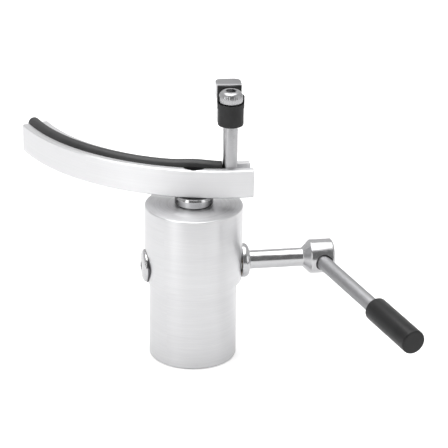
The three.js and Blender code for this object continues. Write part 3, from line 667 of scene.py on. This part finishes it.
def end_screw():
    s = END_SCREW
    steps = 12
    profile = [(0, s["x"] - s["height"])]
    for i in range(steps + 1):
        turn = i / steps * math.pi / 2
        radius = s["face_r"] + (s["r"] - s["face_r"]) * math.sin(turn)
        profile.append((radius, s["x"] - s["rim"] - (s["height"] - s["rim"]) * math.cos(turn)))
    tip = s["x"] + s["shank"]
    profile += [(s["r"], s["x"]), (s["shank_r"], s["x"]), (s["shank_r"], tip), (0, tip)]
    screw = turned("end_screw_fine", profile, MEDIUM, ALONG_X, sharp=38)
    face = s["x"] - s["height"]
    carve(screw, [hexagon(s["hex"], face - OVERCUT, face + s["deep"], ALONG_X)], sharp=38)
    return dress(screw, "shaft", "cam", "polished_steel", "end_screw")


def lever_rod():
    v = LEVER
    profile = [
        (0, v["rod_start"]), (v["rod_r"], v["rod_start"]), (v["rod_r"], v["rod_tip"]), (0, v["rod_tip"]),
    ]
    rod = turned("lever_rod_fine", rounded(profile, v["rod_round"]), MEDIUM, ALONG_LEVER)
    return dress(rod, "rod", "cam", "satin_steel", "lever_rod")


def lever_grip():
    """Moulded grip: a plain cylinder with softly rounded rims and a faint sink in its flat end."""
    v = LEVER
    bore = v["rod_r"] + v["bore_gap"]
    bore_floor = v["rod_tip"] + v["floor_gap"]
    end = v["grip_end"]
    mouth = (bore, v["grip_start"] + v["mouth_depth"])
    front = (v["grip_r"], v["grip_start"])
    back = (v["grip_r"], end)
    end_rim = (v["grip_r"] - v["end_rim"], end + v["end_rise"])
    ring = rounded([mouth, front, back], v["grip_round"], 6)[1:-1]
    rim = rounded([front, back, end_rim], v["grip_round"], 6)[1:-1]
    outline = [(0, bore_floor), (bore, bore_floor), mouth] + ring + rim + [end_rim, (0, end - v["end_sink"])]
    grip = turned("lever_grip_fine", outline, FINE, ALONG_LEVER)
    return dress(grip, "grip", "cam", "black_plastic", "lever_grip")


# ---------------------------------------------------------------- rest bar and its cord

def bar_section(inset):
    """The bar's section as (radius, z) about the arc's centre, shrunk by an inset at the chamfered ends."""
    b = BAR
    c = b["chamfer"] if inset == 0 else b["end_chamfer"]
    lip = b["groove_chamfer"]
    out, inn = b["r_out"] - inset, b["r_in"] + inset
    low, high = b["z0"] + inset, b["z1"] - inset
    return [
        (inn + c, low), (out - c, low), (out, low + c), (out, high - c), (out - c, high),
        (b["groove_out"] + lip, high), (b["groove_out"], high - lip), (b["groove_out"], b["floor"]),
        (b["groove_in"], b["floor"]), (b["groove_in"], high - lip), (b["groove_in"] - lip, high),
        (inn + c, high), (inn, high - c), (inn, low + c),
    ]


def rest_bar():
    b = BAR
    steps = 150
    end_run = math.degrees(b["chamfer"] / b["r_out"])
    share = b["end_share"]
    angles = [(b["start"], b["chamfer"]), (b["start"] + share * end_run, share * b["chamfer"])]
    first = b["start"] + end_run
    last = b["end"] - end_run
    for i in range(steps + 1):
        angles.append((first + (last - first) * i / steps, 0.0))
    angles.append((b["end"] - share * end_run, share * b["chamfer"]))
    angles.append((b["end"], b["chamfer"]))
    work = bmesh.new()
    rows = []
    for degrees, inset in angles:
        row = []
        for radius, z in bar_section(inset):
            x, y = arc_point(radius, degrees)
            row.append(work.verts.new((x, y, z)))
        rows.append(row)
    for low, high in zip(rows, rows[1:]):
        for i in range(len(low)):
            j = (i + 1) % len(low)
            work.faces.new((low[i], low[j], high[j], high[i]))
    work.faces.new(rows[0])
    work.faces.new(list(reversed(rows[-1])))
    bar = add_object("rest_bar_fine", work, 25)
    p = POST
    below = b["z0"] - OVERCUT
    foot_floor = p["foot_z"] - p["foot_gap"]
    carve(bar, [
        cylinder(b["seat_r"], b["seat_z"], b["z1"] + 2 * OVERCUT, MEDIUM),
        cylinder(b["hole_r"], below, b["seat_z"] + OVERCUT / 2),
        cylinder(p["r"] + p["side_gap"], b["floor"], b["z1"] + OVERCUT, SMALL, POST_AT),
        cylinder(p["foot_r"] + p["side_gap"], foot_floor, b["floor"] + OVERCUT, SMALL, POST_AT),
        cylinder(POST_SCREW_SEAT["hole_r"], below, p["foot_z"] + OVERCUT / 2, SMALL, POST_AT),
        cylinder(POST_SCREW_SEAT["r"], below, POST_SCREW_SEAT["z"], SMALL, POST_AT),
    ], 25)
    return dress(bar, "bar", "rest", "brushed_aluminium", "rest_bar")


def pad_cord():
    """Rubber cord: round where free, pressed flat on the groove floor, and lifted over the bar screw."""
    c = CORD
    steps = 180
    sides = 28
    tip_steps = 7
    tip_degrees = math.degrees(c["tip_share"] * c["r"] / c["path_r"])
    stations = []
    for i in range(tip_steps):
        t = i / tip_steps
        degrees = c["start"] + tip_degrees * (1 - math.cos(t * math.pi / 2))
        stations.append((degrees, c["tip_share"] + c["tip_growth"] * math.sin(t * math.pi / 2)))
    first = c["start"] + tip_degrees
    last = c["end"] - c["blunt_run"]
    for i in range(steps + 1):
        stations.append((first + (last - first) * i / steps, 1.0))
    for back, share in c["blunt_end"]:
        stations.append((c["end"] - back, share))
    rings = []
    for degrees, share in stations:
        away = (degrees - c["bump_deg"]) / c["bump_width"]
        over_screw = math.exp(-away * away)
        lift = c["bump"] * over_screw
        sway = sum(size * math.sin(math.radians(degrees * rate)) for size, rate in c["sway"])
        wave = math.sin(math.radians(degrees * c["swell_rate"]))
        swell = 1.0 + c["swell"] * wave - c["bump_thin"] * over_screw
        droop = c["droop"] * math.exp(-((degrees - c["start"]) / c["droop_width"]) ** 2)
        ring = []
        for k in range(sides):
            turn = 2 * math.pi * k / sides
            across = c["r"] * share * swell * math.cos(turn)
            height = c["r"] * share * math.sin(turn)
            floor = -c["r"] + c["press"]
            if height < floor:
                height = floor + (height - floor) * c["press_share"]
            x, y = arc_point(c["path_r"] + sway + across, degrees)
            ring.append(Vector((x, y, c["z"] + lift - droop + height)))
        rings.append(ring)
    work = bmesh.new()
    add_rings(work, rings)
    work.verts.ensure_lookup_table()
    work.faces.new([work.verts[i] for i in reversed(range(sides))])
    work.faces.new([work.verts[len(work.verts) - sides + i] for i in range(sides)])
    cord = add_object("pad_cord_fine", work, 60)
    return dress(cord, "rubber", "rest", "black_rubber", "pad_cord")


# ---------------------------------------------------------------- finger post and head

def finger_post():
    p = POST
    seat = BAR["floor"] + p["seat_gap"]
    profile = [
        (0, p["foot_z"]), (p["foot_r"], p["foot_z"]), (p["foot_r"], seat), (p["r"], seat),
        (p["r"], p["shoulder_z"]), (p["spigot_r"], p["shoulder_z"]),
        (p["spigot_r"], p["top_z"]), (0, p["top_z"]),
    ]
    post = turned("finger_post_fine", rounded(profile, p["edge_round"]), MEDIUM, POST_AT)
    return dress(post, "post", "rest", "satin_steel", "finger_post")


def bowed_edge(front_y, half, steps=14):
    """Points along the finger's gently bowed front, from its left side to its right."""
    sag = FINGER["sag"]
    points = []
    for i in range(steps + 1):
        x = -half + 2 * half * i / steps
        points.append((x, front_y + sag * (x / half) ** 2))
    return points


def corner(centre, radius, start, end, steps=6):
    points = []
    for i in range(steps + 1):
        angle = math.radians(start + (end - start) * i / steps)
        points.append((centre[0] + radius * math.cos(angle), centre[1] + radius * math.sin(angle)))
    return points


def finger_block():
    f = FINGER
    work = bmesh.new()
    inset_y = f["rear_y"] - f["corner"]
    head = (f["half"], f["z0"], f["z1"])
    stem = (f["stem_half"], f["stem_z"], f["z0"] - f["step_gap"])
    for half, bottom, top in (head, stem):
        inset_x = half - f["corner"]
        outline = bowed_edge(f["front_y"], half)
        outline += corner((inset_x, inset_y), f["corner"], 0, 90)
        outline += corner((-inset_x, inset_y), f["corner"], 90, 180)
        add_prism(work, outline, bottom, top, FINGER_AT)
    block = add_object("finger_back_fine", work)
    soften_edges(block, f["edge_round"], 2, 50)
    inner = bmesh.new()
    add_turned(inner, [(f["bore_r"], f["boss_z0"]), (f["boss_r"], f["boss_z0"]), (f["boss_r"], f["boss_z1"]),
                       (f["bore_r"], f["boss_z1"])], SMALL, FINGER_AT)
    neck_front = f["boss_r"] - f["neck_lap"]
    neck_rear = f["front_y"] + f["neck_reach"]
    neck = [
        (-f["neck_half"], neck_front), (f["neck_half"], neck_front),
        (f["neck_half"], neck_rear), (-f["neck_half"], neck_rear),
    ]
    add_prism(inner, neck, f["neck_z0"], f["neck_z1"], FINGER_AT)
    boss = add_object("finger_boss_fine", inner)
    boss.parent = block
    dress(block, "block_lit_copy", "finger", "satin_steel", "finger_block")
    block.data.materials.append(MATERIALS["block"])
    # Top faces take the dark copy of the steel: painted shade on the block's top.
    for face in block.data.polygons:
        if face.normal.z > TOP_FACING:
            face.material_index = 1
    # The boss takes the dark copy too, painted shade.
    boss.data.materials.append(MATERIALS["block"])
    return block


def finger_boot():
    """Rubber boot: tube round the boss, hood behind the screw head and facing on the back piece."""
    s = SLEEVE
    work = bmesh.new()
    tube = [
        (s["lip_r"], s["z0"]), (s["r"] - s["foot_in"], s["z0"]), (s["r"], s["z0"] + s["foot_rise"]),
        (s["r"], s["cup_z"]), (s["cup_r"], s["cup_z"]), (s["cup_r"], s["z1"]), (s["hole_r"], s["z1"]),
        (s["hole_r"], s["lip_z"]), (s["lip_r"], s["lip_z"]),
    ]
    add_turned(work, rounded(tube, s["tube_round"], 4, closed=True), MEDIUM, FINGER_AT)
    boot = add_object("finger_boot_fine", work)
    gap = s["slot_gap"]
    half = FINGER["neck_half"] + gap
    slot_outline = [
        (-half, s["slot_start"]), (half, s["slot_start"]), (half, s["slot_end"]), (-half, s["slot_end"]),
    ]
    slot = bmesh.new()
    add_prism(slot, slot_outline, FINGER["neck_z0"] - gap, FINGER["neck_z1"] + gap, FINGER_AT)
    carve(boot, [add_object("cutter", slot)])
    start = s["hood_deg"]
    end = 180 - s["hood_deg"]
    root = s["z1"] - s["root"]
    hood = bmesh.new()
    outline = corner((0, 0), s["hood_out"], start, end, 40) + corner((0, 0), s["hood_in"], end, start, 40)
    add_prism(hood, outline, root, s["hood_z"], FINGER_AT)
    hood_piece = add_object("finger_boot_hood", hood)
    soften_edges(hood_piece, s["hood_round"], 3, 50)
    facing = bmesh.new()
    outline = bowed_edge(s["facing_front"], s["facing_half"])
    outline += list(reversed(bowed_edge(s["facing_rear"], s["facing_half"])))
    add_prism(facing, outline, root, s["facing_z"], FINGER_AT)
    facing_piece = add_object("finger_boot_facing", facing)
    soften_edges(facing_piece, s["facing_round"], 2, 50)
    dress(boot, "boot", "finger", "black_rubber", "finger_sleeve")
    for part in (hood_piece, facing_piece):
        part.parent = boot
        part.data.materials.append(MATERIALS["boot"])
    return boot


def finger_washer():
    w = WASHER
    profile = [(w["hole_r"], w["z0"]), (w["r"], w["z0"]), (w["r"], w["z1"]), (w["hole_r"], w["z1"])]
    outline = rounded(profile, w["edge_round"], 4, closed=True)
    washer = turned("finger_washer_fine", outline, MEDIUM, POST_AT)
    return dress(washer, "boot", "rest", "black_rubber", "finger_washer")


def finger_screw():
    """Low cap screw with a fluted side, a rounded top edge and a hexagonal socket."""
    s = FINGER_SCREW
    edge = s["r"] - s["face_r"]
    steps = 8
    profile = [(0, s["tip_z"]), (s["shank_r"], s["tip_z"]), (s["shank_r"], s["z0"])]
    profile += [(radius, s["z0"] + rise) for radius, rise in s["underside"]]
    profile.append((s["r"], s["z1"] - s["edge_h"]))
    for i in range(1, steps + 1):
        turn = i / steps * math.pi / 2
        profile.append((s["face_r"] + edge * math.cos(turn), s["z1"] - s["edge_h"] * (1 - math.sin(turn))))
    profile.append((0, s["z1"]))

    low = s["z0"] + s["flute_start"]
    high = s["z1"] - s["edge_h"] * s["flute_fade"]

    def flutes(radius, height, angle):
        if not low < height < high or radius <= s["face_r"]:
            return radius
        return radius - s["flute_depth"] * (0.5 + 0.5 * math.cos(s["flutes"] * angle))

    screw = turned("finger_screw_fine", profile, s["flutes"] * 8, POST_AT, flutes, sharp=38)
    carve(screw, [hexagon(s["hex"], s["z1"] - s["deep"], s["z1"] + OVERCUT, POST_AT)], sharp=38)
    return dress(screw, "screw", "rest", "polished_steel", "finger_screw")


# ---------------------------------------------------------------- carried CAD pieces

CARRIED = {
    "bottom_cap": "cap", "cap_screw_1": "dark", "cap_screw_2": "dark", "cap_screw_3": "dark",
    "pillar_bush": "bronze", "cam_bush_left": "bronze", "cam_bush_right": "bronze",
    "lift_tappet": "dark", "end_washer": "dark", "bar_screw": "dark", "bar_dowel": "spring",
    "post_screw": "dark",
}


def dress_carried():
    for node, material in CARRIED.items():
        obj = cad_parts[node]
        obj.data.materials.clear()
        obj.data.materials.append(MATERIALS[material])


# ---------------------------------------------------------------- studio

def add_floor():
    work = bmesh.new()
    bmesh.ops.create_grid(work, x_segments=8, y_segments=8, size=4.0)
    mesh = bpy.data.meshes.new("studio_floor")
    work.to_mesh(mesh)
    work.free()
    floor = bpy.data.objects.new("studio_floor", mesh)
    floor.location = (0, 0, -0.0001)
    bpy.context.scene.collection.objects.link(floor)
    n = Nodes("floor_paper")
    grain = n.noise(n.add("ShaderNodeTexCoord").outputs["Object"], 60.0, 2.0)
    seen_directly = n.add("ShaderNodeLightPath").outputs["Is Camera Ray"]
    n.set(
        Base_Color=n.tint(grain, (0.93, 0.93, 0.93), (0.95, 0.95, 0.95)),
        Roughness=0.9,
        Specular_IOR_Level=0.1,
        Emission_Color=(1.0, 1.0, 1.0, 1.0),
        Emission_Strength=n.math("MULTIPLY", seen_directly, FLOOR_GLOW),
    )
    mesh.materials.append(n.material)


def add_world():
    """White studio, open and darker on the camera's side below a bright overhead."""
    world = bpy.data.worlds.new("studio")
    bpy.context.scene.world = world
    world.use_nodes = True
    tree = world.node_tree
    tree.nodes.clear()
    azimuth = math.radians(CAMERA["azimuth"])
    place = tree.nodes.new("ShaderNodeTexCoord").outputs["Generated"]

    def level(direction, low, high):
        """Rises smoothly from 0 to 1 as the view direction turns towards the given one."""
        toward = tree.nodes.new("ShaderNodeVectorMath")
        toward.operation = "DOT_PRODUCT"
        toward.inputs[1].default_value = direction
        tree.links.new(place, toward.inputs[0])
        step = tree.nodes.new("ShaderNodeMapRange")
        step.interpolation_type = "SMOOTHSTEP"
        step.inputs["From Min"].default_value = low
        step.inputs["From Max"].default_value = high
        tree.links.new(toward.outputs["Value"], step.inputs["Value"])
        return step.outputs["Result"]

    def mix(factor, a, b):
        node = tree.nodes.new("ShaderNodeMix")
        tree.links.new(factor, node.inputs["Factor"])
        for socket, value in ((node.inputs["A"], a), (node.inputs["B"], b)):
            if isinstance(value, float):
                socket.default_value = value
            else:
                tree.links.new(value, socket)
        return node.outputs["Result"]

    camera_side = level((math.sin(azimuth), -math.cos(azimuth), 0), *CAMERA_SIDE_FADE)
    right_side = level((math.cos(azimuth), math.sin(azimuth), 0), *RIGHT_SIDE_FADE)
    overhead = level((0, 0, 1), *OVERHEAD_FADE)
    walls = mix(right_side, WORLD["walls"], WORLD["right_wall"])
    brightness = mix(overhead, mix(camera_side, walls, WORLD["camera_side"]), WORLD["overhead"])
    back = tree.nodes.new("ShaderNodeBackground")
    out = tree.nodes.new("ShaderNodeOutputWorld")
    tree.links.new(brightness, back.inputs["Strength"])
    tree.links.new(back.outputs["Background"], out.inputs["Surface"])
    back.inputs["Color"].default_value = (1, 1, 1, 1)


def add_area(name, place, aim, size, power):
    data = bpy.data.lights.new(name, "AREA")
    data.shape = "RECTANGLE"
    data.size, data.size_y = size
    data.energy = power
    lamp = bpy.data.objects.new(name, data)
    lamp.location = place
    lamp.rotation_euler = (Vector(place) - Vector(aim)).to_track_quat("Z", "Y").to_euler()
    bpy.context.scene.collection.objects.link(lamp)


def add_camera():
    c = CAMERA
    azimuth, elevation, roll = (math.radians(c[k]) for k in ("azimuth", "elevation", "roll"))
    back = Vector((math.sin(azimuth) * math.cos(elevation), -math.cos(azimuth) * math.cos(elevation),
                   math.sin(elevation)))
    right = Vector((math.cos(azimuth), math.sin(azimuth), 0))
    up = back.cross(right)
    place = Vector((0, 0, c["aim_z"])) + right * c["aim_right"] + up * c["aim_up"] + back * c["distance"]
    turned_right = right * math.cos(roll) - up * math.sin(roll)
    turned_up = right * math.sin(roll) + up * math.cos(roll)
    data = bpy.data.cameras.new("camera")
    data.lens = c["lens"]
    data.sensor_width = c["sensor"]
    data.clip_start = 0.01
    camera = bpy.data.objects.new("camera", data)
    bpy.context.scene.collection.objects.link(camera)
    turn = Matrix((turned_right, turned_up, back)).transposed().to_4x4()
    camera.matrix_world = Matrix.Translation(place * MM) @ turn
    bpy.context.scene.camera = camera


def add_studio():
    add_floor()
    add_world()
    add_area("overhead_softbox", OVERHEAD_PLACE, LIGHT_AIM, OVERHEAD_SIZE, LIGHTS["overhead"])
    for name, (turn, width) in STRIPS.items():
        bearing = math.radians(CAMERA["azimuth"] - turn)
        place = (-STRIP_DISTANCE * math.sin(-bearing), -STRIP_DISTANCE * math.cos(bearing), STRIP_HEIGHT)
        add_area(name, place, LIGHT_AIM, (width, STRIP_LENGTH), LIGHTS[name])
    add_camera()
    view = bpy.context.scene.view_settings
    view.view_transform = "Standard"
    view.look = "None"


# ---------------------------------------------------------------- build

body_shell()
pillar()
return_spring()
cross_shaft()
end_screw()
lever_rod()
lever_grip()
rest_bar()
pad_cord()
finger_post()
finger_block()
finger_boot()
finger_washer()
finger_screw()
dress_carried()
add_studio()
